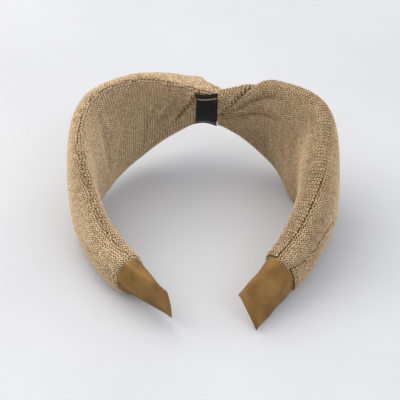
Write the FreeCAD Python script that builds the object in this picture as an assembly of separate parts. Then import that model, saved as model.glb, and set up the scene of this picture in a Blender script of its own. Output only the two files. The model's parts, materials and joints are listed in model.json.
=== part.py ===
import FreeCAD, Part
import math
import os

# A padded, knotted headband, lying on its side on a table.
#
# Band frame, in which everything is first made: the knot's middle is the origin, X runs to the
# wearer's side, Y points out of the crown, and Z runs across the band's width, up from the table.
# The object frame is the same one, leaned back about X until the band rests on its two wide
# pillows and its two tips, with its origin at the middle of the bottom of the overall box.
#
# All lengths are in millimetres and all angles in degrees.

# Centre line of the plastic core: three tangent arcs and a straight run, each side of the knot.
CROWN_RADIUS = 61.0
CROWN_ARC = 60.0
TEMPLE_RADIUS = 63.0
TEMPLE_ARC = 34.0
EAR_RADIUS = 74.0
EAR_ARC = 32.0
TIP_RUN = 43.0

# The stuffed tube: its width, and how thick it is outside and inside the core.
KNOT_WIDTH = 27.0
KNOT_OUTER = 11.5
KNOT_INNER = 6.3
PILLOW_WIDTH = 68.0
PILLOW_OUTER = 12.0
PILLOW_INNER = 7.0
CHEEK_OUTER = 10.0
CHEEK_INNER = 9.0
NECK_WIDTH = 25.4
NECK_OUTER = 7.2
NECK_INNER = 6.6
TIP_WIDTH = 23.0
TIP_THICKNESS = 3.8
TIP_LENGTH = 24.0
TIP_ROLL = {"left": 5.0, "right": -22.0}
FULLNESS = 0.85  # power of the section's sine and cosine; below 1 it is fuller than an ellipse

# The layers, from the outside in.
KNIT = 1.0
SATIN = 0.5
CORE_THICKNESS = 1.8
CORE_WIDTH = 19.0
CORE_TIP_WIDTH = 14.0
CORE_END_GAP = 1.2
SLEEVE_TUCK = 6.0
LAYER_GAP = 0.3  # between two layers that lie on each other

# Edge seams, where the outer cover meets the lining. An angle in the section is measured from
# straight out of the crown: 90 is the upper edge, 180 faces the head.
SEAM_ANGLE = 104.0
SEAM_HALF_ANGLE = 2.5
SEAM_PLAY_ANGLE = 1.0
SEAM_SUNK = 0.2

# The knot: two folds of the cover wrapped over the pinched crown, crossing on a slant.
KNOT_LENGTH = 34.0
KNOT_RISE = 5.0
KNOT_EDGE_RISE = 0.6
KNOT_REACH = 112.0
KNOT_SLANT = 35.0
TACK_COUNT = 5
TACK_PITCH = 4.0
TACK_ANGLE = 9.0

# The woven label on the head side of the knot.
LABEL_WIDTH = 13.0
LABEL_SHIFT = 1.5
LABEL_REACH = 50.0
LABEL_THICKNESS = 0.7
STITCH = 0.35
LABEL_STITCHES = 6
STITCH_GAP = 0.1

# Flexing arms.
HINGE_ARC = 40.0
BODY_GAP = 0.3
HINGE_CLEAR = 0.8

SPACING = 6.0  # most distance between two sections of a loft
ARC_POINTS = 17  # points on each curved side of a section


def mix(low, high, share):
    return low + (high - low) * share


# Share of the padded length, width, thickness outside and inside the core, shift across the
# band, and roll, which leans the upper edge out of the crown.
PADDED_ROWS = (
    (0.00, KNOT_WIDTH, KNOT_OUTER, KNOT_INNER, 1.5, -10.0),
    (0.10, mix(KNOT_WIDTH, PILLOW_WIDTH, 0.37), mix(KNOT_OUTER, PILLOW_OUTER, 0.2), KNOT_INNER, 0.0, -7.0),
    (0.25, mix(KNOT_WIDTH, PILLOW_WIDTH, 0.83), mix(KNOT_OUTER, PILLOW_OUTER, 0.6), PILLOW_INNER - 1.0, 0.0, 0.0),
    (0.435, PILLOW_WIDTH, PILLOW_OUTER, PILLOW_INNER, 1.5, 6.0),
    (0.62, mix(NECK_WIDTH, PILLOW_WIDTH, 0.74), CHEEK_OUTER, CHEEK_INNER, 1.5, -3.0),
    (0.78, mix(NECK_WIDTH, PILLOW_WIDTH, 0.30), mix(NECK_OUTER, CHEEK_OUTER, 0.5), CHEEK_INNER, 0.0, -4.0),
    (1.00, NECK_WIDTH, NECK_OUTER, NECK_INNER, 0.0, 0.0),
)


def half_length():
    bends = ((CROWN_RADIUS, CROWN_ARC), (TEMPLE_RADIUS, TEMPLE_ARC), (EAR_RADIUS, EAR_ARC))
    return sum(radius * math.radians(arc) for radius, arc in bends) + TIP_RUN


HALF = half_length()
PADDED = HALF - TIP_LENGTH
CUT = CROWN_RADIUS * math.radians(HINGE_ARC)


def station_rows(side):
    """Rows as above, with the place in millimetres from the knot and half widths."""
    rows = [(share * PADDED, width / 2, outer, inner, shift, roll)
            for share, width, outer, inner, shift, roll in PADDED_ROWS]
    last = rows.pop()
    flat = TIP_THICKNESS / 2 + KNIT + LAYER_GAP
    tip = TIP_WIDTH / 2 + KNIT + LAYER_GAP
    rows.append(last[:5] + (TIP_ROLL[side] * 0.4,))
    rows.append((mix(PADDED, HALF, 0.5), mix(last[1], tip, 0.6), mix(last[2], flat, 0.75),
                 mix(last[3], flat, 0.75), 0.0, TIP_ROLL[side] * 0.8))
    rows.append((HALF, tip, flat, flat, 0.0, TIP_ROLL[side]))
    return rows


def smooth(rows, column, place):
    """Monotone cubic curve through one column of the rows."""
    xs = [row[0] for row in rows]
    ys = [row[column] for row in rows]
    count = len(xs)
    steps = [xs[i + 1] - xs[i] for i in range(count - 1)]
    rises = [(ys[i + 1] - ys[i]) / steps[i] for i in range(count - 1)]
    slopes = [0.0] * count
    slopes[-1] = rises[-1]
    for i in range(1, count - 1):
        if rises[i - 1] * rises[i] > 0:
            before = 2 * steps[i] + steps[i - 1]
            after = steps[i] + 2 * steps[i - 1]
            slopes[i] = (before + after) / (before / rises[i - 1] + after / rises[i])
    i = max(0, min(count - 2, sum(1 for x in xs if x <= place) - 1))
    t = (place - xs[i]) / steps[i]
    start = (2 * t ** 3 - 3 * t ** 2 + 1) * ys[i] + (t ** 3 - 2 * t ** 2 + t) * steps[i] * slopes[i]
    end = (3 * t ** 2 - 2 * t ** 3) * ys[i + 1] + (t ** 3 - t ** 2) * steps[i] * slopes[i + 1]
    return start + end


ROWS = {side: station_rows(side) for side in ("left", "right")}


def centre_line(place):
    """Point and outward direction at a place along the core; it is negative on the left."""
    sign = -1.0 if place < 0 else 1.0
    left = abs(place)
    x = y = turn = 0.0
    for radius, arc in ((CROWN_RADIUS, CROWN_ARC), (TEMPLE_RADIUS, TEMPLE_ARC), (EAR_RADIUS, EAR_ARC)):
        part = min(left, radius * math.radians(arc))
        after = turn + part / radius
        x += radius * (math.sin(after) - math.sin(turn))
        y += radius * (math.cos(after) - math.cos(turn))
        turn = after
        left -= part
    x += left * math.cos(turn)
    y -= left * math.sin(turn)
    point = FreeCAD.Vector(sign * x, y, 0)
    out = FreeCAD.Vector(sign * math.sin(turn), math.cos(turn), 0)
    return point, out


def surface_point(place, angle, inset):
    """Point of the tube at an angle in the section, sunk below its surface by inset."""
    rows = ROWS["left" if place < 0 else "right"]
    width, outer, inner, shift, roll = [smooth(rows, column, abs(place)) for column in range(1, 6)]
    middle, out = centre_line(place)
    up = FreeCAD.Vector(0, 0, 1)
    lean = math.radians(roll)
    across = up * math.cos(lean) + out * math.sin(lean)
    through = out * math.cos(lean) - up * math.sin(lean)
    sine = math.sin(math.radians(angle))
    cosine = math.cos(math.radians(angle))
    thick = outer if cosine > 0 else inner
    far_out = math.copysign(abs(cosine) ** FULLNESS, cosine) * (thick - inset)
    far_up = math.copysign(abs(sine) ** FULLNESS, sine) * (width - inset)
    return middle + up * shift + across * far_up + through * far_out


def places_between(start, end):
    count = max(1, math.ceil(abs(end - start) / SPACING))
    return [mix(start, end, i / count) for i in range(count + 1)]


def curve_through(points):
    curve = Part.BSplineCurve()
    curve.interpolate(points)
    return curve.toShape()


def panel(places, first, last, top, bottom):
    """A curved sheet between two angles of the section and two depths below the surface.

    The depths are numbers or functions of the place."""
    wires = []
    count = max(3, math.ceil((last - first) / (180 / (ARC_POINTS - 1))) + 1)
    angles = [mix(first, last, i / (count - 1)) for i in range(count)]
    for place in places:
        high = top(place) if callable(top) else top
        low = bottom(place) if callable(bottom) else bottom
        above = [surface_point(place, angle, high) for angle in angles]
        below = [surface_point(place, angle, low) for angle in reversed(angles)]
        edges = [curve_through(above), Part.makeLine(above[-1], below[0]),
                 curve_through(below), Part.makeLine(below[-1], above[0])]
        wires.append(Part.Wire(edges))
    return Part.makeLoft(wires, True, False)


def tube(places, inset):
    """The whole section as one solid, in two curved sides that meet at the edges."""
    wires = []
    angles = [mix(-90, 90, i / (ARC_POINTS - 1)) for i in range(ARC_POINTS)]
    for place in places:
        outer = [surface_point(place, angle, inset) for angle in angles]
        inner = [surface_point(place, angle + 180, inset) for angle in angles]
        inner[0] = outer[-1]
        inner[-1] = outer[0]
        wires.append(Part.Wire([curve_through(outer), curve_through(inner)]))
    return Part.makeLoft(wires, True, False)


def core_strip(places):
    """The springy plastic strip, a flat oblong section on the centre line."""
    wires = []
    for place in places:
        rows = ROWS["left" if place < 0 else "right"]
        lean = math.radians(smooth(rows, 5, abs(place)))
        shift = smooth(rows, 4, abs(place))
        middle, out = centre_line(place)
        up = FreeCAD.Vector(0, 0, 1)
        taper = max(0.0, abs(place) - PADDED) / TIP_LENGTH
        width = mix(CORE_WIDTH, CORE_TIP_WIDTH, taper)
        across = (up * math.cos(lean) + out * math.sin(lean)) * (width / 2)
        through = (out * math.cos(lean) - up * math.sin(lean)) * (CORE_THICKNESS / 2)
        middle = middle + up * shift
        corners = [middle + across + through, middle - across + through,
                   middle - across - through, middle + across - through]
        edges = [Part.makeLine(corners[i], corners[(i + 1) % 4]) for i in range(4)]
        wires.append(Part.Wire(edges))
    return Part.makeLoft(wires, True, False)


def seam_threads(places):
    """The thread in the two edge seams, filling the gap between cover and lining."""
    threads = []
    half = SEAM_HALF_ANGLE - SEAM_PLAY_ANGLE
    for seam in (SEAM_ANGLE, 360 - SEAM_ANGLE):
        threads.append(panel(places, seam - half, seam + half, SEAM_SUNK, KNIT - SEAM_SUNK))
    return Part.makeCompound(threads)


def cover_and_lining(name, places, nodes):
    edge = SEAM_ANGLE - SEAM_HALF_ANGLE
    nodes[name + "_outer_cover"] = panel(places, -edge, edge, 0, KNIT)
    edge = SEAM_ANGLE + SEAM_HALF_ANGLE
    nodes[name + "_lining"] = panel(places, edge, 360 - edge, 0, KNIT)
    nodes[name + "_seam_thread"] = seam_threads(places)


def knot_rise(place):
    """How far the knot stands above the pinched cover: nothing at its ends, most in the middle."""
    share = min(1.0, abs(place) / (KNOT_LENGTH / 2))
    return -(KNOT_EDGE_RISE + KNOT_RISE * math.cos(math.radians(90 * share)) ** 1.3)


def make_knot(nodes):
    """Two folds that share a slanted face, and the tacks that hold their ends to the lining."""
    half = KNOT_LENGTH / 2
    places = places_between(-half, 0)[:-1] + places_between(0, half)
    wrap = panel(places, -KNOT_REACH, KNOT_REACH, knot_rise, -LAYER_GAP)
    reach = 3 * KNOT_LENGTH
    block = Part.makeBox(reach, 2 * reach, 2 * reach, FreeCAD.Vector(0, -reach, -reach))
    block.rotate(FreeCAD.Vector(0, 0, 0), FreeCAD.Vector(0, 1, 0), KNOT_SLANT)
    nodes["knot_right_fold"] = wrap.common(block)
    nodes["knot_left_fold"] = wrap.cut(block)
    tacks = []
    for start in (KNOT_REACH, 360 - KNOT_REACH - TACK_ANGLE):
        for i in range(TACK_COUNT):
            middle = (i - (TACK_COUNT - 1) / 2) * TACK_PITCH
            ends = (middle - STITCH, middle + STITCH)
            tacks.append(panel(ends, start, start + TACK_ANGLE, -LAYER_GAP - STITCH, -LAYER_GAP))
    nodes["knot_tacking_stitches"] = Part.makeCompound(tacks)


def make_label(nodes):
    """The woven label lies on the lining, sewn down along its two upright ends."""
    left = LABEL_SHIFT - LABEL_WIDTH / 2
    right = LABEL_SHIFT + LABEL_WIDTH / 2
    low = 180 - LABEL_REACH
    high = 180 + LABEL_REACH
    nodes["woven_label"] = panel([mix(left, right, i / 4) for i in range(5)], low, high,
                                 -LAYER_GAP - LABEL_THICKNESS, -LAYER_GAP)
    stitches = []
    face = LAYER_GAP + LABEL_THICKNESS + STITCH_GAP
    pitch = (high - low) / LABEL_STITCHES
    for place in (left + 1.0, right - 1.0):
        for i in range(LABEL_STITCHES):
            first = low + (i + 0.2) * pitch
            stitches.append(panel((place - STITCH, place + STITCH), first, first + 0.6 * pitch,
                                  -face - STITCH, -face))
    nodes["label_stitches"] = Part.makeCompound(stitches)


def make_crown(nodes):
    end = CUT - BODY_GAP / 2
    whole = places_between(-end, 0)[:-1] + places_between(0, end)
    core = core_strip(whole)
    nodes["core_crown"] = core
    nodes["wadding_crown"] = tube(whole, KNIT + LAYER_GAP).cut(core)
    cover_and_lining("crown_left", places_between(-end, 0), nodes)
    cover_and_lining("crown_right", places_between(0, end), nodes)
    make_knot(nodes)
    make_label(nodes)


def make_arm(side, nodes):
    sign = -1 if side == "left" else 1
    start = CUT + BODY_GAP / 2
    tuck = PADDED - SLEEVE_TUCK
    inside_end = HALF - SATIN
    padded = [sign * place for place in places_between(start, PADDED)]
    core_places = [sign * place for place in places_between(start, inside_end - CORE_END_GAP)]
    core = core_strip(core_places)
    name = side + "_arm"
    nodes["core_" + name] = core
    stuffed = [sign * place for place in places_between(start, tuck - LAYER_GAP)]
    nodes["wadding_" + name] = tube(stuffed, KNIT + LAYER_GAP).cut(core)
    cover_and_lining(name, padded, nodes)
    sleeve = tube([sign * place for place in places_between(tuck, HALF)], KNIT + LAYER_GAP)
    wall = KNIT + LAYER_GAP + SATIN
    hollow = tube([sign * place for place in places_between(tuck - 1, inside_end)], wall)
    nodes[side + "_satin_tip"] = sleeve.cut(hollow)
    filling = [sign * place for place in places_between(tuck, inside_end - LAYER_GAP)]
    nodes[side + "_tip_wadding"] = tube(filling, wall + LAYER_GAP).cut(core)
    stitches = []
    for i in range(12):
        angle = 30 * i + 8
        ends = (sign * PADDED, sign * (PADDED + 1.4))
        stitches.append(panel(ends, angle, angle + 12, KNIT - STITCH, KNIT))
    nodes[side + "_tip_stitches"] = Part.makeCompound(stitches)


def skin_points():
    """Points all over the tube, for the angle at which it rests."""
    points = []
    steps = 90
    for side, sign in (("left", -1), ("right", 1)):
        for i in range(steps + 1):
            place = sign * HALF * i / steps
            inset = KNIT if abs(place) > PADDED else 0
            points += [(abs(place) > PADDED, surface_point(place, angle, inset))
                       for angle in range(200, 350, 3)]
    return points


def rest_tilt():
    """Lean at which the lowest point of the padded part and of the tips are level."""
    points = skin_points()
    low = 0.0
    high = 30.0
    for _ in range(40):
        tilt = (low + high) / 2
        sine = math.sin(math.radians(tilt))
        cosine = math.cos(math.radians(tilt))
        heights = {True: [], False: []}
        for on_tip, point in points:
            heights[on_tip].append(point.y * sine + point.z * cosine)
        if min(heights[True]) > min(heights[False]):
            low = tilt
        else:
            high = tilt
    return tilt


def hinge_point():
    """Where an arm hinges in the band frame: level with the core, just outside the cover."""
    middle, out = centre_line(CUT)
    reach = smooth(ROWS["right"], 2, CUT) + HINGE_CLEAR
    return middle + out * reach


def main():
    nodes = {}
    make_crown(nodes)
    for side in ("left", "right"):
        make_arm(side, nodes)
    tilt = rest_tilt()
    for shape in nodes.values():
        shape.rotate(FreeCAD.Vector(0, 0, 0), FreeCAD.Vector(1, 0, 0), tilt)
    corners = [vertex for shape in nodes.values() for vertex in shape.tessellate(0.05)[0]]
    lows = [min(corner[axis] for corner in corners) for axis in range(3)]
    highs = [max(corner[axis] for corner in corners) for axis in range(3)]
    move = FreeCAD.Vector(-(lows[0] + highs[0]) / 2, -(lows[1] + highs[1]) / 2, -lows[2])
    os.makedirs("parts", exist_ok=True)
    for name, shape in nodes.items():
        shape.translate(move)
        shape.exportStep("parts/" + name + ".step")
    turned = FreeCAD.Rotation(FreeCAD.Vector(1, 0, 0), tilt)
    hinge = turned.multVec(hinge_point()) + move
    axis = turned.multVec(FreeCAD.Vector(0, 0, 1))
    print("nodes", len(nodes), "half length", round(HALF, 1), "rest tilt", round(tilt, 2))
    print("overall size", [round(highs[axis_] - lows[axis_], 1) for axis_ in range(3)])
    print("right hinge", [round(value, 3) for value in hinge], "axis", [round(value, 5) for value in axis])


main()
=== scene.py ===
# %% [markdown]
# # A knotted, padded headband
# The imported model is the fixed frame: it says where the knot, the arms and the tips are, and which
# body each of them moves with. Everything below is made round it, in metres, in the same frame.

# %% Load the frame
import json
import math

import bpy
import numpy as np
from mathutils import Matrix, Vector

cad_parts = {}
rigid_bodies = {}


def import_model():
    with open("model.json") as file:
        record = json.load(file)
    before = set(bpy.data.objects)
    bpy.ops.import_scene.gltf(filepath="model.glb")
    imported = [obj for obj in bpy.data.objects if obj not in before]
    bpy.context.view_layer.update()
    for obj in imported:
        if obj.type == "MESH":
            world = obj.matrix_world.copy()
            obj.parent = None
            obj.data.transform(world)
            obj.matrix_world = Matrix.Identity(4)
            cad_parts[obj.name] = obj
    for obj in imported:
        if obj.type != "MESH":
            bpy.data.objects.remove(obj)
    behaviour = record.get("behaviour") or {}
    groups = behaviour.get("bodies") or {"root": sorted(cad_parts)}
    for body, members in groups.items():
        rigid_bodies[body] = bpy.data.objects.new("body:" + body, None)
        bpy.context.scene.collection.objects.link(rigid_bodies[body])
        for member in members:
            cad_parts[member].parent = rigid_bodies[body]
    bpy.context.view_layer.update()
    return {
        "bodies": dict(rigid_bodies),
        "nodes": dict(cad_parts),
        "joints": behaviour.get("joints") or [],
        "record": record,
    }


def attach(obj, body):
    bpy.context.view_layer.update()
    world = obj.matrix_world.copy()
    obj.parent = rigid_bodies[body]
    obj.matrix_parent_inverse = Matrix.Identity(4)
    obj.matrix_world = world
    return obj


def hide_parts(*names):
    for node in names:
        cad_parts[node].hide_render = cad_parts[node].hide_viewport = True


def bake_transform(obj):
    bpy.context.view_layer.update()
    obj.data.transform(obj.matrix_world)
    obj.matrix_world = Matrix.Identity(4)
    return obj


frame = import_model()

# %% [markdown]
# A headband is one springy strip, so the easiest way to place cloth on it is by two numbers: how far
# along the strip from the knot, and at what angle round its section. The strip is three tangent arcs
# and a straight run, in millimetres, in the band's own frame: X to the wearer's right, Y out of the
# crown, Z across the band. Places to the left of the knot are negative.

# %% The line of the core
BENDS = ((61.0, 60.0), (63.0, 34.0), (74.0, 32.0))
TIP_RUN = 43.0
HALF = sum(radius * math.radians(arc) for radius, arc in BENDS) + TIP_RUN
NECK = HALF - 24.0


def core_line(place):
    """Points on the core and the directions out of the crown side, for an array of places."""
    place = np.asarray(place, float)
    sign = np.where(place < 0, -1.0, 1.0)
    left = np.abs(place)
    x, y, turn = np.zeros_like(left), np.zeros_like(left), np.zeros_like(left)
    for radius, arc in BENDS:
        part = np.minimum(left, radius * math.radians(arc))
        after = turn + part / radius
        x += radius * (np.sin(after) - np.sin(turn))
        y += radius * (np.cos(after) - np.cos(turn))
        turn = after
        left = left - part
    x += left * np.cos(turn)
    y -= left * np.sin(turn)
    flat = np.zeros_like(x)
    return np.stack([sign * x, y, flat], -1), np.stack([sign * np.sin(turn), np.cos(turn), flat], -1)


# %% From the band's frame to the object's frame, read from the right hinge
HINGE = next(j for j in frame["joints"] if j["name"] == "right_arm_flex")
TILT = math.atan2(-HINGE["axis"][1], HINGE["axis"][2])
LEAN = np.array(Matrix.Rotation(TILT, 3, "X"))
CUT = 61.0 * math.radians(40.0)
HINGE_DEPTH = 12.617  # how far outside the core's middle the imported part's hinge lies there
hinge_point, hinge_out = core_line(CUT)
HOME = np.array(HINGE["pos_m"]) - LEAN @ (hinge_point + hinge_out * HINGE_DEPTH) / 1000


def to_object(points):
    return np.asarray(points, float) @ LEAN.T / 1000 + HOME


def rest_on_table(grid, clear=0.9):
    """Flattens whatever would go lower than the table, softly, and gives the band's frame back."""
    spot = to_object(grid)
    height = spot[..., 2] * 1000 - clear
    spot[..., 2] = (clear + 0.5 * (height + np.sqrt(height ** 2 + 0.5))) / 1000
    return (spot - HOME) @ LEAN * 1000


print("leans back", round(math.degrees(TILT), 2), "degrees; the knot is at", to_object([0, 0, 0]).round(4))

# %% [markdown]
# The camera comes early, so that each piece can be judged as soon as it is made. It looks at the
# head side of the crown from in front of the tips, a little under halfway up. A long lens from
# two thirds of a metre keeps the near tips from growing too large against the knot.

# %% Camera
CAMERA_REACH = 650.0
CAMERA_RISE = math.radians(43.0)
camera_data = bpy.data.cameras.new("headband_camera")
camera_data.lens = 105.0
camera_data.clip_start = 0.01
camera = bpy.data.objects.new("headband_camera", camera_data)
bpy.context.collection.objects.link(camera)
camera.location = to_object([0, -CAMERA_REACH * math.cos(CAMERA_RISE), CAMERA_REACH * math.sin(CAMERA_RISE)])
look = Matrix.Rotation(math.radians(0.1), 3, "Z") @ Matrix.Rotation(math.radians(54.4), 3, "X")
camera.rotation_euler = (look @ Matrix.Rotation(math.radians(1.0), 3, "Z")).to_euler()
bpy.context.scene.camera = camera
bpy.context.scene.view_settings.view_transform = "Standard"
print("camera at", [round(v, 3) for v in camera.location])

# %% [markdown]
# A node tree is easiest to read when every node is added in the same way. One helper adds a node,
# sets its properties or sockets, and joins its inputs. Colours are written as the hex values that
# a paint chart gives, which are sRGB, while the renderer works in linear light.

# %% Helpers for nodes and colours
def add_node(tree, kind, settings=None, links=None):
    node = tree.nodes.new(kind)
    for key, value in (settings or {}).items():
        if isinstance(key, str) and hasattr(node, key):
            setattr(node, key, value)
        else:
            node.inputs[key].default_value = value
    for key, source in (links or {}).items():
        tree.links.new(source, node.inputs[key])
    return node


def paint(hex_colour):
    values = [int(hex_colour[i:i + 2], 16) / 255 for i in (1, 3, 5)]
    return tuple(v / 12.92 if v <= 0.04045 else ((v + 0.055) / 1.055) ** 2.4 for v in values) + (1.0,)


def new_material(name):
    """An empty node material: its tree, its Principled shader, and itself."""
    material = bpy.data.materials.new(name)
    material.use_nodes = True
    tree = material.node_tree
    tree.nodes.clear()
    shader = add_node(tree, "ShaderNodeBsdfPrincipled")
    add_node(tree, "ShaderNodeOutputMaterial", links={"Surface": shader.outputs["BSDF"]})
    return material, tree, shader


def millimetres(tree):
    """The piece's own coordinates in millimetres, so that a scale of 1 is one cycle per millimetre."""
    place = add_node(tree, "ShaderNodeTexCoord")
    return add_node(tree, "ShaderNodeVectorMath", {"operation": "SCALE", "Scale": 1000.0},
                    {0: place.outputs["Object"]}).outputs["Vector"]


def noise(tree, spacing, detail=3.0, source=None):
    """Soft noise whose blotches are about that many millimetres across."""
    return add_node(tree, "ShaderNodeTexNoise", {"Scale": 1.0 / spacing, "Detail": detail},
                    {"Vector": source or millimetres(tree)}).outputs["Fac"]


def blend_colours(tree, factor, low, high, start=0.35, end=0.65):
    ramp = add_node(tree, "ShaderNodeValToRGB", links={"Fac": factor})
    ramp.color_ramp.elements[0].position = start
    ramp.color_ramp.elements[0].color = paint(low)
    ramp.color_ramp.elements[1].position = end
    ramp.color_ramp.elements[1].color = paint(high)
    return ramp.outputs["Color"]


def add_bump(tree, shader, height, depth_mm, strength=1.0):
    bump = add_node(tree, "ShaderNodeBump", {"Distance": depth_mm / 1000, "Strength": strength},
                    {"Height": height})
    tree.links.new(bump.outputs["Normal"], shader.inputs["Normal"])


# %% [markdown]
# The floor is a plain pale board under soft lamps. A large lamp stands behind the band on the left
# and gives the soft shadows to the right, and a weak one in front fills the inside of the crown.

# %% Floor and light
floor_mesh = bpy.data.meshes.new("pale_floor")
floor_mesh.from_pydata([(-3, -3, 0), (3, -3, 0), (3, 3, 0), (-3, 3, 0)], [], [(0, 1, 2, 3)])
floor = bpy.data.objects.new("pale_floor", floor_mesh)
bpy.context.collection.objects.link(floor)
floor.location.z = -0.0004
board, tree, shader = new_material("matt_white_board")
tree.links.new(blend_colours(tree, noise(tree, 120.0), "#BBBCBF", "#C0C1C3"), shader.inputs["Base Color"])
shader.inputs["Roughness"].default_value = 0.9
floor_mesh.materials.append(board)

world = bpy.data.worlds.new("studio")
world.use_nodes = True
world.node_tree.nodes["Background"].inputs["Color"].default_value = paint("#F4F5F8")
world.node_tree.nodes["Background"].inputs["Strength"].default_value = 1.12
bpy.context.scene.world = world


def add_lamp(name, place, aim, size, watts, colour="#FFFFFF"):
    lamp = bpy.data.lights.new(name, "AREA")
    lamp.shape = "DISK"
    lamp.size = size
    lamp.energy = watts
    lamp.color = paint(colour)[:3]
    holder = bpy.data.objects.new(name, lamp)
    bpy.context.collection.objects.link(holder)
    holder.location = place
    holder.rotation_euler = (Vector(aim) - Vector(place)).to_track_quat("-Z", "Y").to_euler()


add_lamp("window_lamp", (-0.50, 0.20, 0.80), (0, 0, 0.02), 1.10, 7.0, "#FFFAF2")
add_lamp("front_fill", (0.5, -0.9, 0.8), (0, 0, 0.02), 0.8, 4.0, "#F4F7FF")
print("floor, window lamp and front fill")

# %% [markdown]
# The stuffed tube is drawn as a list of cross sections. Each row gives how far from the knot it
# is, its half width across the band, how far it bulges outside and inside the core, how far it is
# shifted and rolled, how far it is bent outwards, and at what angle the near and far seams run.
# The two sides of a hand-made band differ, so each has its own rows.
#
# These rows are not worked out from driving sizes, as a tidy script's would be. Most of the numbers
# began as the result of a fitting program, and the seam angles as another program's. Some were then
# changed and some only rounded. They should be drawn again from a few named sizes.

# %% Cross sections of the stuffed tube, in millimetres and degrees
SECTIONS = {
    "left": np.array([
        # place, half width, outside, inside, shift, roll, bend, near seam, far seam
        (0.0, 15.2, 11.8, 6.1, 1.2, -12.0, 0.0, 104.0, -100.0),
        (17.0, 21.5, 13.4, 6.7, 0.6, -6.5, 0.0, 102.0, -100.0),
        (41.0, 31.0, 12.0, 6.0, 0.2, -1.0, 0.0, 104.0, -98.0),
        (70.0, 33.0, 10.8, 5.2, 2.6, 5.5, 0.0, 98.0, -90.0),
        (100.0, 28.4, 8.0, 6.8, 2.1, 0.8, 0.0, 88.0, -50.0),
        (126.0, 18.6, 7.2, 8.2, -0.4, -3.0, 0.0, 94.0, -2.0),
        (150.0, 13.2, 8.4, 9.0, -2.0, 3.5, 0.0, 97.0, 16.0),
        (NECK, 12.6, 7.6, 8.6, -1.4, 4.0, -0.6, 104.0, 24.0),
        (174.0, 12.2, 5.2, 5.8, 0.6, 4.5, -2.4, 104.0, 24.0),
        (HALF, 12.2, 3.3, 3.3, 2.0, 5.0, -4.2, 104.0, 24.0),
    ]),
    "right": np.array([
        (0.0, 12.0, 5.6, 5.8, -0.2, -10.0, 0.0, 80.0, -100.0),
        (8.0, 12.6, 5.8, 5.8, -0.4, -9.0, 0.0, 76.0, -100.0),
        (17.0, 16.6, 6.4, 5.8, -0.6, -8.0, 0.0, 72.0, -100.0),
        (41.0, 29.8, 10.6, 6.0, -0.2, -4.0, 0.0, 70.0, -94.0),
        (70.0, 34.2, 13.0, 8.6, -0.2, 5.5, 0.0, 66.0, -82.0),
        (100.0, 28.4, 9.6, 10.2, 1.9, -5.5, 0.0, 69.0, -32.0),
        (126.0, 19.4, 8.2, 11.2, 0.6, -3.0, 0.0, 89.0, 4.0),
        (150.0, 14.6, 8.6, 8.8, -3.2, -3.0, 0.0, 90.0, 22.0),
        (NECK, 14.0, 8.4, 7.6, -3.0, -9.0, 0.4, 87.0, 34.0),
        (174.0, 13.2, 6.2, 5.2, -1.8, -20.0, 1.4, 87.0, 34.0),
        (HALF, 12.4, 3.5, 3.5, -0.4, -30.0, 2.4, 87.0, 34.0),
    ]),
}
FULLNESS = 0.85


def flowing(rows, column, place):
    """A smooth curve through one column of the rows that never overshoots them."""
    xs, ys = rows[:, 0], rows[:, column]
    steps = np.diff(xs)
    rises = np.diff(ys) / steps
    slopes = np.zeros(len(xs))
    for i in range(1, len(xs) - 1):
        if rises[i - 1] * rises[i] > 0:
            before, after = 2 * steps[i] + steps[i - 1], steps[i] + 2 * steps[i - 1]
            slopes[i] = (before + after) / (before / rises[i - 1] + after / rises[i])
    slopes[-1] = rises[-1]
    i = np.clip(np.searchsorted(xs, place, side="right") - 1, 0, len(xs) - 2)
    t = (place - xs[i]) / steps[i]
    start = (2 * t ** 3 - 3 * t ** 2 + 1) * ys[i] + (t ** 3 - 2 * t ** 2 + t) * steps[i] * slopes[i]
    return start + (3 * t ** 2 - 2 * t ** 3) * ys[i + 1] + (t ** 3 - t ** 2) * steps[i] * slopes[i + 1]


def tube_point(side, place, angle, sunk=0.0, tucked=True, fullness=FULLNESS):
    """Points of the tube, in the band's frame; place and angle are arrays that go together.

    Past the knot's middle a tucked tube shrinks, because it goes under the other half."""
    rows = SECTIONS[side]
    width, outer, inner, shift, roll, bend = [flowing(rows, c, np.abs(place))[..., None]
                                              for c in range(1, 7)]
    fullness = np.asarray(fullness, float)[..., None]
    if tucked:
        past = np.clip(((place if side == "left" else -place) + 4.0) / 15.0, 0, 1)[..., None]
        slim = 1 - 0.42 * past * past * (3 - 2 * past)
        width, outer, inner = width * slim, outer * slim, inner * slim
    middle, out = core_line(place)
    up = np.array([0.0, 0.0, 1.0])
    lean = np.radians(roll)
    across = up * np.cos(lean) + out * np.sin(lean)
    through = out * np.cos(lean) - up * np.sin(lean)
    sine, cosine = np.sin(np.radians(angle))[..., None], np.cos(np.radians(angle))[..., None]
    thick = np.where(cosine > 0, outer, inner)
    sunk = np.asarray(sunk, float)[..., None]
    far_out = np.sign(cosine) * np.abs(cosine) ** fullness * (thick - sunk)
    far_up = np.sign(sine) * np.abs(sine) ** fullness * (width - sunk)
    return middle + up * shift + out * bend + across * far_up + through * far_out


def unit(vectors):
    return vectors / np.maximum(np.linalg.norm(vectors, axis=-1, keepdims=True), 1e-9)


def outward(grid):
    """Unit normals of a grid of points whose rows follow the band and whose columns go round it."""
    return unit(np.cross(np.gradient(grid, axis=1), np.gradient(grid, axis=0)))


def run_of(line):
    """How far along a line of points each of them is."""
    return np.concatenate([[0], np.cumsum(np.linalg.norm(np.diff(line, axis=0), axis=-1))])


def at_stops(stops, run, line):
    return np.stack([np.interp(stops, run, line[:, k]) for k in range(3)], -1)


def seam_angle(side, place, which):
    return flowing(SECTIONS[side], {"near": 7, "far": 8}[which], np.abs(place))


print("sections", {side: len(rows) for side, rows in SECTIONS.items()})

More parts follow.
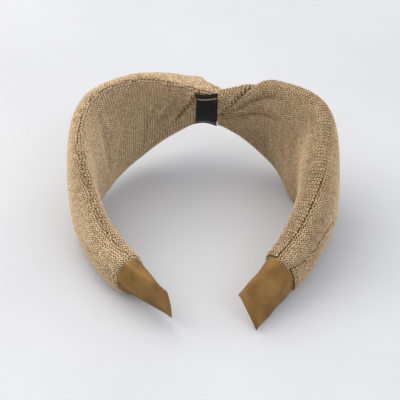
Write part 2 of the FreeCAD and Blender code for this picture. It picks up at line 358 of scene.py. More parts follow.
# %% [markdown]
# Cloth on the band is a grid of points: rows follow the band and columns go round it. A closed
# shell is made by dropping every point a little along its normal and joining the rims, so that the
# cloth has a real thickness and an edge. A stuffed tube is a grid that closes on itself.

# %% Closed meshes from grids
def add_piece(name, points, faces, material):
    mesh = bpy.data.meshes.new(name)
    mesh.from_pydata(to_object(points).tolist(), [], faces)
    mesh.materials.append(material)
    mesh.polygons.foreach_set("use_smooth", [True] * len(mesh.polygons))
    piece = bpy.data.objects.new(name, mesh)
    bpy.context.collection.objects.link(piece)
    return piece


def grid_faces(index):
    return np.stack([index[:-1, :-1], index[:-1, 1:], index[1:, 1:], index[1:, :-1]], -1).reshape(-1, 4)


def cloth_shell(name, grid, thickness, material):
    """A sheet with the grid as its outer face."""
    count = grid.shape[0] * grid.shape[1]
    index = np.arange(count).reshape(grid.shape[:2])
    top = grid_faces(index)
    rim = np.concatenate([index[0, :-1], index[:-1, -1], index[-1, :0:-1], index[:0:-1, 0]])
    after = np.roll(rim, -1)
    wall = np.stack([after, rim, rim + count, after + count], -1)
    points = np.concatenate([grid.reshape(-1, 3), (grid - outward(grid) * thickness).reshape(-1, 3)])
    return add_piece(name, points, np.concatenate([top, top[:, ::-1] + count, wall]).tolist(), material)


def closed_tube(name, grid, material):
    """A tube with both ends closed; the grid's last column is the one before the first."""
    index = np.arange(grid.shape[0] * grid.shape[1]).reshape(grid.shape[:2])
    index = np.concatenate([index, index[:, :1]], 1)
    faces = grid_faces(index).tolist()
    faces.append(index[0, :0:-1].tolist())
    faces.append(index[-1, :-1].tolist())
    return add_piece(name, grid.reshape(-1, 3), faces, material)


# %% [markdown]
# The yarn is a soft wool and acrylic mix, so it scatters light off its fuzz and has no gloss: high
# roughness, a little sheen, and blotches where the fibres lie differently. The cloth under the
# loops is the same yarn painted much darker, as painted shade for the gaps between the loops. Scales
# are in millimetres: fibre clumps of 0.4 mm on the yarn, and bands of a few millimetres where the
# knitting is uneven.

# %% Yarn, and knit cloth darkened as painted shade
def wool(name, dark, light, clump, sheen):
    material, tree, shader = new_material(name)
    blotch = noise(tree, clump, 4.0)
    tree.links.new(blend_colours(tree, blotch, dark, light), shader.inputs["Base Color"])
    shader.inputs["Roughness"].default_value = 0.93
    shader.inputs["Specular IOR Level"].default_value = 0.25
    shader.inputs["Sheen Weight"].default_value = sheen
    shader.inputs["Sheen Roughness"].default_value = 0.6
    shader.inputs["Sheen Tint"].default_value = paint("#E8D6B4")
    add_bump(tree, shader, noise(tree, 0.4, 2.0), 0.12, 0.6)
    return material


YARN = wool("wool_mix_yarn", "#B2926A", "#E8D2AF", 1.3, 0.15)
# The sheet under the loops is painted dark brown: painted shade for the gaps between the loops.
KNIT_CLOTH_PAINTED_SHADE = wool("knit_cloth_painted_shade", "#533F23", "#6C5434", 4.0, 0.0)

# %% [markdown]
# A knot gathers the cloth. On the head side the right half fans out in pleats from the label's
# lower corner up to the rim, and the left half keeps a few ribs along the rim, which pass over the
# label and tuck behind those pleats. Each pleat is a round ridge with a narrow crease, so the same
# ridge rule serves everywhere, with the distance or the angle across the pleats as its input.

# %% Pleats and creases, in millimetres
CLOTH_END = {"left": NECK + 1.8, "right": NECK - 2.0}


def ridges(across, sharp=0.6):
    return np.abs(np.sin(np.pi * across)) ** sharp


def fade(distance, full, gone):
    t = np.clip((gone - distance) / (gone - full), 0, 1)
    return t * t * (3 - 2 * t)


def crease(distance, width):
    return np.exp(-((distance / width) ** 2))


def pleats(side, place, angle):
    """How far the gathered cloth stands above or below the plain tube."""
    half = flowing(SECTIONS[side], 1, np.abs(place))
    sine = np.sin(np.radians(angle))
    from_rim = half * (1 - np.sign(sine) * np.abs(sine) ** FULLNESS)
    on_outside = np.cos(np.radians(angle)) > 0
    down = np.where(on_outside, -from_rim, from_rim)
    far_half = fade(np.abs(down), 20.0, 30.0)
    outside = fade(np.abs(place), 14.0, 50.0) * fade(np.abs(angle), 62.0, 88.0) * on_outside
    height = -2.0 * outside * (1 - ridges(angle / 24 + 0.35 + place * 0.006))
    if side == "right":
        reach = np.hypot(place - 6.5, 15.0 - down)
        fan = np.degrees(np.arctan2(15.0 - down, place - 6.5))
        depth = np.minimum(2.2 + 0.4 * reach, 5.4) * fade(reach, 24.0, 52.0)
        depth = depth * fade(-fan, 10.0, 20.0) * fade(fan, 42.0, 52.0) * fade(-down, 0.0, 6.0)
        valley = (fan + 7.0) / 21.0
        height = height - depth * (1 - ridges(valley, 0.32)) + 0.05 * depth
    else:
        ribs = fade(-place, 10.0, 34.0) * fade(np.abs(down - 2.0), 4.0, 7.0)
        height = height - 0.8 * ribs * (1 - ridges(down / 2.7 + 0.1))
        slide = place + 0.57 * down
        inner = fade(-down, -3.0, 0.0) * far_half
        height = height - 3.6 * crease(slide + 3.0, 0.9) * inner
        height = height + 1.2 * crease(slide + 7.5, 3.0) * inner - 1.2 * crease(slide + 13.0, 2.2) * inner
        height = height - 0.5 * crease(slide + 22.0, 4.0) * inner
    return height


# %% [markdown]
# The stuffing pushes the cloth out between the knot and the neck, where it is sewn fast. That is
# worked out once for each half with a cloth simulation on a coarse tube, 4 mm from point to point,
# a little slimmer than the cut cloth, with pressure inside it and no weight. Knot, neck and edge
# seams are held. The pressure does too little on a tube this small, so the tube is five times the
# size and its movement is scaled back. No point may move more than 1.5 mm. The simulated tube is
# thrown away and only its movement is kept.

# %% Stuffing, by cloth simulation
PLACE_COUNT, ANGLE_COUNT = 38, 28
FIRST_PLACE = 10.0
SLIMMER = 0.6
ENLARGED = 5.0
MOST_MOVE = 1.5


def freedom(place, angle):
    """0 where knot, neck or edge seam holds the cloth, and 1 where the stuffing can push it."""
    along = np.abs(place)
    between_seams = fade(-np.abs(np.cos(np.radians(angle))), -0.75, -0.3)
    return fade(-along, -40.0, -22.0) * fade(along, NECK - 32.0, NECK - 14.0) * between_seams


def stuffed_tube(side):
    sign = -1.0 if side == "left" else 1.0
    place = np.repeat(np.linspace(FIRST_PLACE, NECK, PLACE_COUNT)[:, None], ANGLE_COUNT, 1)
    angle = np.repeat(np.arange(ANGLE_COUNT)[None, :] * 360.0 / ANGLE_COUNT, PLACE_COUNT, 0)
    points = tube_point(side, sign * place, angle, SLIMMER * freedom(place, angle)) * ENLARGED / 1000
    index = np.arange(PLACE_COUNT * ANGLE_COUNT).reshape(PLACE_COUNT, ANGLE_COUNT)
    faces = grid_faces(np.concatenate([index, index[:, :1]], 1))
    mesh = bpy.data.meshes.new(side + "_stuffed_tube")
    mesh.from_pydata(points.reshape(-1, 3).tolist(), [], (faces if sign > 0 else faces[:, ::-1]).tolist())
    tube = bpy.data.objects.new(mesh.name, mesh)
    bpy.context.scene.collection.objects.link(tube)
    held = tube.vertex_groups.new(name="held")
    for index, share in enumerate(1 - freedom(place, angle).ravel()):
        if share > 0.01:
            held.add([index], float(share), "REPLACE")
    cloth = tube.modifiers.new("stuffing", "CLOTH")
    cloth.settings.vertex_group_mass = "held"
    cloth.settings.use_pressure = True
    cloth.settings.uniform_pressure_force = 4.0
    cloth.settings.effector_weights.gravity = 0.0
    cloth.collision_settings.use_collision = False
    cloth.point_cache.frame_start, cloth.point_cache.frame_end = 1, 20
    for frame in range(1, 21):
        bpy.context.scene.frame_set(frame)
    solved = tube.evaluated_get(bpy.context.evaluated_depsgraph_get()).to_mesh()
    after = np.empty(len(mesh.vertices) * 3)
    solved.vertices.foreach_get("co", after)
    moved = (after.reshape(points.shape) - points) * 1000 / ENLARGED
    bpy.data.objects.remove(tube)
    bpy.data.meshes.remove(mesh)
    bpy.context.scene.frame_set(1)
    length = np.linalg.norm(moved, axis=-1, keepdims=True)
    print(side, "stuffing moves the cloth", length.mean().round(2), "mm, at most", length.max().round(2))
    return moved * np.minimum(1.0, MOST_MOVE / np.maximum(length, 1e-6))


swollen = {side: stuffed_tube(side) for side in ("left", "right")}


def swell(side, place, angle):
    """The stuffing's push at any place and angle, between the simulated points."""
    if side not in swollen:
        return 0.0
    row = np.clip((np.abs(place) - FIRST_PLACE) / (NECK - FIRST_PLACE), 0, 0.9999) * (PLACE_COUNT - 1)
    column = (np.asarray(angle) % 360) / 360 * ANGLE_COUNT
    i, j = row.astype(int), column.astype(int) % ANGLE_COUNT
    t, u = (row - i)[..., None], (column - column.astype(int))[..., None]
    table, k = swollen[side], (j + 1) % ANGLE_COUNT
    here = table[i, j] * (1 - t) + table[i + 1, j] * t
    beside = table[i, k] * (1 - t) + table[i + 1, k] * t
    return here * (1 - u) + beside * u


# %% [markdown]
# Every cloth is cut by the same rule: the stuffed tube between two seam lines, with its pleats, a
# groove along each seam and a turned-in hem at the neck. On the right the hem runs on a slant, so
# that it is further from the tip at the lower edge.

# %% The grid of a cloth
NECK_SLANT = {"left": 0.0, "right": 5.5}


def lower_share(angle):
    return (1 - np.sin(np.radians(angle))) / 2


def cloth_grid(side, places, first, last, columns, lift=0.0):
    """The grid of a cloth between two seam lines, gathered near the knot and rolled in at seams."""
    share = np.linspace(0, 1, columns)
    angle = first[:, None] + (last - first)[:, None] * share
    place = places[:, None] + np.zeros_like(angle)
    place = place - NECK_SLANT[side] * fade(NECK - np.abs(place), 0.0, 22.0) * lower_share(angle)
    grid = tube_point(side, place, angle, SLIMMER * freedom(place, angle)) + swell(side, place, angle)
    steps = np.linalg.norm(np.diff(grid, axis=1), axis=-1)
    run = np.concatenate([np.zeros((len(places), 1)), np.cumsum(steps, 1)], 1)
    edge = np.minimum(run, run[:, -1:] - run)
    height = lift + pleats(side, place, angle) - 0.8 * crease(edge, 0.5)
    height = height - 1.0 * crease(CLOTH_END[side] - np.abs(places[:, None]), 0.9)
    return rest_on_table(grid + outward(grid) * height[..., None])


def places_from(start, end):
    """Rows close together where the cloth is gathered and further apart where it is smooth."""
    steps = np.arange(start, end, 0.25)
    wanted = np.where(np.abs(steps) < 46, 0.9, 1.5)
    count = np.cumsum(0.25 / wanted)
    rows = np.interp(np.arange(0, count[-1]), count, steps)
    rows[0], rows[-1] = start, end
    return rows


# %% [markdown]
# The outer cover and the lining are the two knit pieces of each half. They run from the knot, where
# one half is tucked under the other, to the neck, where the satin tip goes in. Each crosses the
# place where the arm flexes, but is tied to neither the crown's body nor the arm's.

# %% Outer covers and linings
CLOTH_THICKNESS = 0.8
BEND_REACH = 18.0
grids = {}


def bend_ends(side):
    """Two points either side of the flexing place, on the core's tangent there."""
    sign = -1 if side == "left" else 1
    point, out = core_line(sign * CUT)
    along = np.array([out[1], -out[0], 0.0]) * sign
    return to_object(point - along * BEND_REACH), to_object(point + along * BEND_REACH)


def across_the_bend(piece, side):
    start, end = bend_ends(side)
    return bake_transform(piece)


def add_cloth(side, kind, places, columns, lift=0.0):
    near, far = seam_angle(side, places, "near"), seam_angle(side, places, "far")
    first, last = (far, near) if kind == "cover" else (near, far + 360)
    grid = cloth_grid(side, places, first, last, columns, lift)
    grids[side + "_" + kind] = (places, grid)
    # The sheet under the loops carries the painted shade that shows between the loops.
    piece = cloth_shell(side + "_" + kind, grid, CLOTH_THICKNESS, KNIT_CLOTH_PAINTED_SHADE)
    across_the_bend(piece, side)
    part = "outer_cover" if kind == "cover" else "lining"
    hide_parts("crown_" + side + "_" + part, side + "_arm_" + part)
    print(piece.name, len(piece.data.polygons), "faces")


add_cloth("left", "cover", places_from(-CLOTH_END["left"], 8.0), 96)
add_cloth("right", "cover", places_from(-8.0, CLOTH_END["right"]), 96)
add_cloth("left", "lining", places_from(-CLOTH_END["left"], 12.0), 96)
add_cloth("right", "lining", places_from(8.6, CLOTH_END["right"]), 96, 0.5)

# %% [markdown]
# The knit shows as rows of small V shapes. Each V is one loop of yarn, two short legs side by side,
# and thousands of them lie in columns across the band. Geometry Nodes puts one V on every point of
# a list: the script works out where the points are and how they are turned, and the tree makes the
# V from its sizes, places it, and makes the result one real mesh. The covers' loops are 1.4 mm wide
# and high. The linings' are drawn 1.75 mm wide, coarser than the real ones, so that they show.

# %% The tree that lays stitches
def stitch_tree(name, legs):
    """legs are the sideways signs of the legs: (-1, 1) for a V and (0,) for one straight stitch."""
    tree = bpy.data.node_groups.new(name, "GeometryNodeTree")
    tree.interface.new_socket("Points", in_out="INPUT", socket_type="NodeSocketGeometry")
    for label in ("Leg length", "Leg width", "Leg depth", "Leg spacing", "Leg splay", "Unevenness"):
        tree.interface.new_socket(label, in_out="INPUT", socket_type="NodeSocketFloat")
    tree.interface.new_socket("Seed", in_out="INPUT", socket_type="NodeSocketInt")
    tree.interface.new_socket("Thread", in_out="INPUT", socket_type="NodeSocketMaterial")
    tree.interface.new_socket("Stitches", in_out="OUTPUT", socket_type="NodeSocketGeometry")
    given = tree.nodes.new("NodeGroupInput").outputs
    ball = add_node(tree, "GeometryNodeMeshUVSphere", {"Segments": 3, "Rings": 3, "Radius": 0.5})
    size = add_node(tree, "ShaderNodeCombineXYZ", None,
                    {"X": given["Leg width"], "Y": given["Leg depth"], "Z": given["Leg length"]})
    leg = add_node(tree, "GeometryNodeTransform", None,
                   {"Geometry": ball.outputs["Mesh"], "Scale": size.outputs["Vector"]})
    stitch = tree.nodes.new("GeometryNodeJoinGeometry")
    for sign in legs:
        aside = add_node(tree, "ShaderNodeMath", {"operation": "MULTIPLY", 1: 0.5 * sign},
                         {0: given["Leg spacing"]})
        splay = add_node(tree, "ShaderNodeMath", {"operation": "MULTIPLY", 1: -float(sign)},
                         {0: given["Leg splay"]})
        offset = add_node(tree, "ShaderNodeCombineXYZ", None, {"X": aside.outputs["Value"]})
        turn = add_node(tree, "ShaderNodeCombineXYZ", {"X": math.radians(-90)},
                        {"Z": splay.outputs["Value"]})
        placed = add_node(tree, "GeometryNodeTransform", None,
                          {"Geometry": leg.outputs["Geometry"], "Translation": offset.outputs["Vector"],
                           "Rotation": turn.outputs["Vector"]})
        tree.links.new(placed.outputs["Geometry"], stitch.inputs["Geometry"])
    smooth = add_node(tree, "GeometryNodeSetShadeSmooth", None, {"Geometry": stitch.outputs["Geometry"]})
    facing = add_node(tree, "GeometryNodeInputNamedAttribute",
                      {"data_type": "FLOAT_VECTOR", "Name": "turn"})
    rotation = add_node(tree, "FunctionNodeEulerToRotation", None,
                        {"Euler": facing.outputs["Attribute"]})
    least = add_node(tree, "ShaderNodeMath", {"operation": "SUBTRACT", 0: 1.0}, {1: given["Unevenness"]})
    most = add_node(tree, "ShaderNodeMath", {"operation": "ADD", 0: 1.0}, {1: given["Unevenness"]})
    scale = add_node(tree, "FunctionNodeRandomValue", {"data_type": "FLOAT"},
                     {2: least.outputs["Value"], 3: most.outputs["Value"], "Seed": given["Seed"]})
    laid = add_node(tree, "GeometryNodeInstanceOnPoints", None,
                    {"Points": given["Points"], "Instance": smooth.outputs["Geometry"],
                     "Rotation": rotation.outputs["Rotation"], "Scale": scale.outputs[1]})
    real = add_node(tree, "GeometryNodeRealizeInstances", None, {"Geometry": laid.outputs["Instances"]})
    dyed = add_node(tree, "GeometryNodeSetMaterial", None,
                    {"Geometry": real.outputs["Geometry"], "Material": given["Thread"]})
    add_node(tree, "NodeGroupOutput", None, {"Stitches": dyed.outputs["Geometry"]})
    return tree


KNIT_LOOP = stitch_tree("knit_loop", (-1, 1))
STRAIGHT_STITCH = stitch_tree("straight_stitch", (0,))


def euler_of(sideways, forward, up):
    """XYZ angles that turn an object's axes to three directions, for arrays of directions."""
    tilt = np.arcsin(np.clip(-sideways[:, 2], -1, 1))
    return np.stack([np.arctan2(forward[:, 2], up[:, 2]), tilt,
                     np.arctan2(sideways[:, 1], sideways[:, 0])], -1)


def lay_stitches(name, tree, points, forward, up, thread, sizes):
    """Runs a stitch tree on the points; sizes are its named inputs, in millimetres and degrees."""
    forward, up = forward @ LEAN.T, up @ LEAN.T
    sideways = np.cross(forward, up)
    sideways /= np.linalg.norm(sideways, axis=-1, keepdims=True)
    up = np.cross(sideways, forward)
    up /= np.linalg.norm(up, axis=-1, keepdims=True)
    forward = np.cross(up, sideways)
    cloud = bpy.data.meshes.new(name + "_points")
    cloud.from_pydata(to_object(points).tolist(), [], [])
    turn = cloud.attributes.new("turn", "FLOAT_VECTOR", "POINT")
    turn.data.foreach_set("vector", euler_of(sideways, forward, up).astype(np.float32).ravel())
    holder = bpy.data.objects.new(name + "_points", cloud)
    bpy.context.collection.objects.link(holder)
    modifier = holder.modifiers.new("stitches", "NODES")
    modifier.node_group = tree
    for socket in tree.interface.items_tree:
        if socket.in_out == "INPUT" and socket.name in sizes:
            unit = {"Leg splay": math.pi / 180, "Unevenness": 1.0}.get(socket.name, 0.001)
            modifier[socket.identifier] = float(sizes[socket.name]) * unit
        elif socket.name == "Seed":
            modifier[socket.identifier] = 7
        elif socket.name == "Thread":
            modifier[socket.identifier] = thread
    shown = holder.evaluated_get(bpy.context.evaluated_depsgraph_get())
    mesh = bpy.data.meshes.new_from_object(shown)
    bpy.data.objects.remove(holder)
    mesh.name = name
    piece = bpy.data.objects.new(name, mesh)
    bpy.context.collection.objects.link(piece)
    print(name, len(points), "stitches,", sum(len(p.vertices) - 2 for p in mesh.polygons), "triangles")
    return piece


# %% [markdown]
# The loops are spaced by real distance along each column, so they stay the same size where the band
# is wide and where it is pinched, as they do on cut cloth.

# %% Knit loops on the covers and linings
COURSE = 1.4
WALES = {"cover": 1.42, "lining": 1.75}
LOOP_SIZES = {"Leg length": 1.75, "Leg width": 0.62, "Leg depth": 0.7, "Leg spacing": 0.78,
              "Leg splay": 22.0, "Unevenness": 0.08}


def loop_places(places, grid, wale):
    """Points, column directions and normals of the loops on a cloth grid."""
    normal = outward(grid)
    found = []
    for at in np.arange(places[0] + wale / 2, places[-1], wale):
        i = int(np.clip(np.searchsorted(places, at) - 1, 0, len(places) - 2))
        t = (at - places[i]) / (places[i + 1] - places[i])
        line = grid[i] * (1 - t) + grid[i + 1] * t
        above = normal[i] * (1 - t) + normal[i + 1] * t
        run = run_of(line)
        count = max(1, int((run[-1] - 0.1) / COURSE))
        stops = run[-1] / 2 + (np.arange(count) - (count - 1) / 2) * COURSE
        spot, facing = at_stops(stops, run, line), at_stops(stops, run, above)
        found.append(np.stack([spot + facing * 0.2, at_stops(stops + 0.4, run, line) - spot, facing], 1))
    found = np.concatenate(found)
    return found[:, 0], unit(found[:, 1]), unit(found[:, 2])


for kind in ("cover", "lining"):
    for side in ("left", "right"):
        places, grid = grids[side + "_" + kind]
        loops = lay_stitches(side + "_" + kind + "_loops", KNIT_LOOP,
                             *loop_places(places, grid, WALES[kind]), YARN, LOOP_SIZES)
        across_the_bend(loops, side)

# %% [markdown]
# The knot itself is two folds of the cover wrapped over the pinched crown. The left one lies over
# the right one along a slanted lip. Each fold rises from its own half, is highest just before the
# lip and turns down at it, and is gathered into pleats that run towards the lip.

# %% Knot folds
FOLD_START = 20.0
FOLD_REACH = 100.0
FOLD_SLANT = 6.0


def fold_grid(side):
    sign = -1.0 if side == "left" else 1.0
    along = np.linspace(0, 1, 56)[:, None]
    round_it = np.linspace(-1, 1, 84)[None, :]
    lip = FOLD_SLANT * round_it + (0.0 if side == "left" else -5.0)
    place = sign * FOLD_START + (lip - sign * FOLD_START) * along
    angle = FOLD_REACH * round_it + 0 * along
    grid = tube_point(side, place, angle)
    rise = np.sin(np.pi / 2 * np.clip(along / 0.72, 0, 1)) ** 1.6
    top = 6.5 if side == "left" else 8.0
    drop = fade(along, 0.86, 1.02) if side == "left" else 0.35 + 0.65 * fade(along, 0.6, 1.0)
    edge = fade(round_it, -0.15, 0.5) * fade(-round_it, 0.4, 0.85)
    height = -0.5 + top * rise * drop * edge
    fold_across = round_it * (2.9 - 0.9 * along) + 0.5 * along
    height = height - 1.25 * (1 - ridges(fold_across + 0.2)) * rise * edge
    if sign > 0:
        grid, height = grid[::-1], height[::-1]
    return rest_on_table(grid + outward(grid) * height[..., None])


for side in ("left", "right"):
    grid = fold_grid(side)
    # The fold's sheet under the loops carries the painted shade that shows between the loops.
    fold = cloth_shell("knot_" + side + "_fold_cloth", grid, CLOTH_THICKNESS, KNIT_CLOTH_PAINTED_SHADE)
    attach(fold, "crown")
    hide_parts("knot_" + side + "_fold", "knot_tacking_stitches")
    loops = lay_stitches("knot_" + side + "_fold_loops", KNIT_LOOP,
                         *loop_places(np.arange(56) * 0.42, grid, 1.3), YARN, LOOP_SIZES)
    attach(loops, "crown")

# %% [markdown]
# The woven label is a black taffeta ribbon with fine ribs and a thin pale border woven in at each
# end. Real ribs are about 0.3 mm apart and are drawn 0.6 mm apart, so that they show. The label
# carries no lettering. It follows the gathered lining, so it is cut from the same tube rule and
# only lifted off it.

# %% Woven label
def taffeta():
    material, tree, shader = new_material("black_woven_taffeta")
    place = add_node(tree, "ShaderNodeUVMap", {"uv_map": "cloth"})
    parts = add_node(tree, "ShaderNodeSeparateXYZ", None, {"Vector": place.outputs["UV"]})
    weave = add_node(tree, "ShaderNodeTexWave", {"wave_type": "BANDS", "bands_direction": "Y", "Scale": 0.52,
                                                 "Distortion": 0.6, "Detail": 1.0},
                     {"Vector": place.outputs["UV"]})
    tone = blend_colours(tree, weave.outputs["Fac"], "#0B0A0C", "#1C1A1D")
    from_end = add_node(tree, "ShaderNodeMath", {"operation": "PINGPONG", 1: 10.0},
                        {0: parts.outputs["Y"]})
    line = add_node(tree, "ShaderNodeMath", {"operation": "COMPARE", 1: 2.2, 2: 0.28},
                    {0: from_end.outputs["Value"]})
    mixed = add_node(tree, "ShaderNodeMix", {"data_type": "RGBA", 7: paint("#8A7A58")},
                     {0: line.outputs["Value"], 6: tone})
    tree.links.new(mixed.outputs[2], shader.inputs["Base Color"])
    shader.inputs["Roughness"].default_value = 0.6
    shader.inputs["Specular IOR Level"].default_value = 0.2
    add_bump(tree, shader, weave.outputs["Fac"], 0.08, 0.7)
    return material


def give_cloth_map(piece, across, along, copies=2):
    """A UV map in millimetres for a grid shell, so that a weave follows the cloth."""
    table = np.stack(np.broadcast_arrays(across, along), -1).reshape(-1, 2)
    table = np.concatenate([table] * copies)
    layer = piece.data.uv_layers.new(name="cloth")
    corners = np.zeros(len(piece.data.loops), int)
    piece.data.loops.foreach_get("vertex_index", corners)
    layer.data.foreach_set("uv", table[corners].ravel())


LABEL_MIDDLE = 2.0
LABEL_WIDTH = 13.0
LABEL_DOWN = (120.0, 216.0)
label_places = np.linspace(LABEL_MIDDLE - LABEL_WIDTH / 2, LABEL_MIDDLE + LABEL_WIDTH / 2, 27)
label_angles = np.linspace(*LABEL_DOWN, 41)
grid = tube_point("left", np.repeat(label_places[:, None], 41, 1),
                  np.repeat(label_angles[None, :], 27, 0), 0.0, False)
down = np.linalg.norm(np.diff(grid, axis=1), axis=-1).mean(0)
down = np.concatenate([[0], np.cumsum(down)])
sag = 0.5 * np.cos(np.linspace(-1.5, 1.5, 27))[:, None] * np.sin(np.linspace(0, math.pi, 41))[None, :]
grid = grid + outward(grid) * (1.25 + sag)[..., None]
label = cloth_shell("black_woven_label", grid, 0.45, taffeta())
give_cloth_map(label, label_places[:, None], 20.0 * down[None, :] / down[-1])
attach(label, "crown")
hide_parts("woven_label")

# %% [markdown]
# Sewing thread is spun polyester, smooth enough for a faint shine. The label is held by a row of
# small stitches at each side, and every other visible row of stitches uses the same tree.

# %% Thread, and the label's stitches
def spun_thread(name, dark, light):
    material, tree, shader = new_material(name)
    tree.links.new(blend_colours(tree, noise(tree, 0.5, 2.0), dark, light), shader.inputs["Base Color"])
    shader.inputs["Roughness"].default_value = 0.6
    shader.inputs["Sheen Weight"].default_value = 0.2
    add_bump(tree, shader, noise(tree, 0.15, 1.0), 0.05, 0.5)
    return material


BEIGE_THREAD = spun_thread("beige_polyester_thread", "#B4976C", "#CDB085")
BLACK_THREAD = spun_thread("black_polyester_thread", "#0E0D0F", "#1D1B1E")

normal = outward(grid)
spots, forward, up = [], [], []
for row in (2, 24):
    for column in range(2, 40, 3):
        spots.append(grid[row, column] + normal[row, column] * 0.05)
        forward.append(unit(grid[row, column + 1] - grid[row, column]))
        up.append(normal[row, column])
stitches = lay_stitches("label_hand_stitches", STRAIGHT_STITCH, np.array(spots), np.array(forward),
                        np.array(up), BLACK_THREAD,
                        {"Leg length": 1.3, "Leg width": 0.32, "Leg depth": 0.3, "Unevenness": 0.1})
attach(stitches, "crown")
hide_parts("label_stitches")

# %% [markdown]
# Each edge seam is a row of small stitches at the bottom of the groove between cover and lining.
# They are sewn from the wrong side, so only short slanted bars of thread show.

# %% Seam stitches
def seam_line(side, which):
    places, grid = grids[side + "_cover"]
    return places, grid[:, -1 if which == "near" else 0]


for side in ("left", "right"):
    spots, forward, up = [], [], []
    for which in ("near", "far"):
        places, line = seam_line(side, which)
        run = run_of(line)
        stops = np.arange(2.0, run[-1] - 2.0, 2.4)
        spot = at_stops(stops, run, line)
        ahead = unit(at_stops(stops + 0.5, run, line) - spot)
        place = np.interp(stops, run, places)
        angle = seam_angle(side, place, which)
        lifted = unit(tube_point(side, place, angle, -1.0) - tube_point(side, place, angle))
        spots.append(spot + lifted * 0.35)
        forward.append(ahead + 0.35 * np.cross(lifted, ahead))
        up.append(lifted)
    seam = lay_stitches(side + "_seam_stitches", STRAIGHT_STITCH, np.concatenate(spots),
                        unit(np.concatenate(forward)), np.concatenate(up), BEIGE_THREAD,
                        {"Leg length": 2.2, "Leg width": 0.45, "Leg depth": 0.45, "Unevenness": 0.1})
    across_the_bend(seam, side)
    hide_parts("crown_" + side + "_seam_thread", side + "_arm_seam_thread")

# %% [markdown]
# The tips are sleeves of bronze satin, folded flat over the ends of the band. This is a dull satin:
# the light on it is broad and soft, with no bright streak. The sleeve goes from the thick neck to a
# flat end with two corners, and on the left its upper edge has a slit between two layers.

# %% Satin tips
def satin():
    material, tree, shader = new_material("bronze_polyester_satin")
    blotch = noise(tree, 9.0, 2.0)
    tree.links.new(blend_colours(tree, blotch, "#6C4F26", "#826236"), shader.inputs["Base Color"])
    shader.inputs["Roughness"].default_value = 0.68
    shader.inputs["Specular IOR Level"].default_value = 0.16
    shader.inputs["Sheen Weight"].default_value = 0.08
    shader.inputs["Sheen Roughness"].default_value = 0.35
    shader.inputs["Sheen Tint"].default_value = paint("#E2C08A")
    creases = noise(tree, 8.0, 1.0)
    threads = noise(tree, 0.35, 1.0)
    both = add_node(tree, "ShaderNodeMath", {"operation": "MULTIPLY_ADD", 1: 0.12}, {0: threads, 2: creases})
    add_bump(tree, shader, both.outputs["Value"], 0.4, 0.5)
    return material


SATIN = satin()
SLEEVE_START = NECK - 8.5
FLAT_FROM = NECK + 2.0
SLEEVE_SUNK = 1.0
SLIT_ANGLE = 99.0


def sleeve_grid(side, columns=72, rows=60):
    """The grid of a tip, and how far each point is towards the flat end, from 0 to 1."""
    place = np.repeat(np.linspace(SLEEVE_START, HALF, rows)[:, None], columns, 1)
    angle = np.repeat(np.arange(columns)[None, :] * 360.0 / columns, rows, 0)
    height = np.sin(np.radians(angle))
    end = np.clip((place - FLAT_FROM) / (HALF - FLAT_FROM), 0, 1)
    longer = 3.2 * height ** 2 - 0.9 if side == "right" else 5.6 - 0.6 * height
    place = (place + longer * end ** 2) * (-1.0 if side == "left" else 1.0)
    grid = tube_point(side, place, angle, SLEEVE_SUNK + 0.25 * end, fullness=FULLNESS + 0.35 * end)
    return (grid[::-1], end[::-1], angle) if side == "left" else (grid, end, angle)


def add_sleeve(side):
    grid, end, angle = sleeve_grid(side)
    normal = outward(np.concatenate([grid[:, -1:], grid, grid[:, :1]], 1))[:, 1:-1]
    slit = -1.3 * crease(angle - SLIT_ANGLE, 4.0) * np.clip(end * 4, 0, 1) * (side == "left")
    pull = 0.35 * np.sin(np.radians(angle) * 2 + end * 7.0) * np.sin(np.pi * end)
    pull = pull + 0.25 * np.sin(np.radians(angle) * 5 + end * 3.0) * (1 - end)
    sleeve = closed_tube(side + "_satin_sleeve", grid + normal * (slit + pull)[..., None], SATIN)
    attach(sleeve, side + "_arm")
    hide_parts(side + "_satin_tip")
    return sleeve


for side in ("left", "right"):
    sleeve = add_sleeve(side)
    print(sleeve.name, len(sleeve.data.polygons), "faces")

# %% [markdown]
# Where the satin goes under the knit, a ring of small stitches holds the two together.

# %% Tip stitches
for side in ("left", "right"):
    sign = -1.0 if side == "left" else 1.0
    angle = np.arange(4.0, 364.0, 9.0)
    place = sign * (CLOTH_END[side] + 0.5 - NECK_SLANT[side] * lower_share(angle))
    spot = tube_point(side, place, angle, 0.75)
    ahead = unit(tube_point(side, place + sign * 0.5, angle, 0.75) - spot)
    lifted = unit(tube_point(side, place, angle) - spot)
    ring = lay_stitches(side + "_neck_stitches", STRAIGHT_STITCH, spot, ahead, lifted, BEIGE_THREAD,
                        {"Leg length": 1.6, "Leg width": 0.4, "Leg depth": 0.4, "Unevenness": 0.12})
    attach(ring, side + "_arm")
    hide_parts(side + "_tip_stitches")

# %% [markdown]
# Under the cloth lie the foam and the springy strip. They don't show, but the model keeps them, so
# that it can be opened up. The foam is a plain stuffed tube a little smaller than the cloth, and
# is pinched further in under the pleats. The real strip is one piece of moulded plastic from tip to
# tip. Here each half is one bar that runs past the flexing place, tied to neither the crown nor the
# arm, and the two meet at the knot.

# %% Foam and core
def foam():
    material, tree, shader = new_material("white_open_cell_foam")
    cells = add_node(tree, "ShaderNodeTexVoronoi", {"Scale": 1.2}, {"Vector": millimetres(tree)})
    tree.links.new(blend_colours(tree, cells.outputs["Distance"], "#CFCABB", "#EDE9DE", 0.1, 0.6),
                   shader.inputs["Base Color"])
    shader.inputs["Roughness"].default_value = 0.95
    add_bump(tree, shader, cells.outputs["Distance"], 0.3, 0.8)
    return material


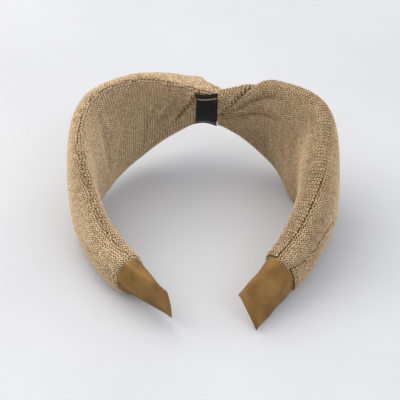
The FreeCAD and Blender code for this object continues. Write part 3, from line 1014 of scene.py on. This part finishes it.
FOAM = foam()
FOAM_RUNS = (("foam", 0.5, NECK - 8.0, 2.6), ("tip_foam", NECK - 4.0, HALF - 4.0, 2.7))
for side in ("left", "right"):
    sign = -1.0 if side == "left" else 1.0
    for name, first, last, sunk in FOAM_RUNS:
        along = np.sort(sign * np.linspace(first, last, 60 if name == "foam" else 20))
        angle = np.arange(48) * 7.5
        pinched = 2.0 * fade(np.abs(along), 40.0, 56.0) if name == "foam" else 0 * along
        grid = tube_point(side, np.repeat(along[:, None], 48, 1), angle[None, :] + 0 * along[:, None],
                          (sunk + pinched)[:, None])
        piece = closed_tube(side + "_" + name, grid, FOAM)
        if name == "foam":
            across_the_bend(piece, side)
            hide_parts("wadding_crown", "wadding_" + side + "_arm")
        else:
            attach(piece, side + "_arm")
            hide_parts(side + "_tip_wadding")

CORE_HALF_WIDTH, CORE_TIP_HALF_WIDTH, CORE_HALF_THICKNESS = 9.5, 7.0, 0.9
strip, tree, shader = new_material("moulded_polypropylene")
tree.links.new(blend_colours(tree, noise(tree, 4.0), "#2A2622", "#38332E"), shader.inputs["Base Color"])
shader.inputs["Roughness"].default_value = 0.38
add_bump(tree, shader, noise(tree, 0.6), 0.05, 0.4)


def strip_grid(side, along):
    """An oblong section on the core's line, shifted, rolled and bent as the cloth round it."""
    shift, roll, bend = [flowing(SECTIONS[side], c, np.abs(along))[:, None] for c in (4, 5, 6)]
    middle, out = core_line(along)
    up = np.array([0.0, 0.0, 1.0])
    lean = np.radians(roll)
    taper = np.clip((np.abs(along) - NECK) / (HALF - NECK), 0, 1)[:, None]
    width = CORE_HALF_WIDTH - (CORE_HALF_WIDTH - CORE_TIP_HALF_WIDTH) * taper
    across = (up * np.cos(lean) + out * np.sin(lean)) * width
    through = (out * np.cos(lean) - up * np.sin(lean)) * CORE_HALF_THICKNESS
    middle = middle + up * shift + out * bend
    return np.stack([middle + through - across, middle + through + across,
                     middle - through + across, middle - through - across], 1)


for side in ("left", "right"):
    sign = -1.0 if side == "left" else 1.0
    grid = strip_grid(side, np.sort(sign * np.linspace(0.1, HALF - 1.7, 90)))
    core = closed_tube(side + "_core_strip", grid, strip)
    core.data.polygons.foreach_set("use_smooth", [False] * len(core.data.polygons))
    across_the_bend(core, side)
    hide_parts("core_crown", "core_" + side + "_arm")
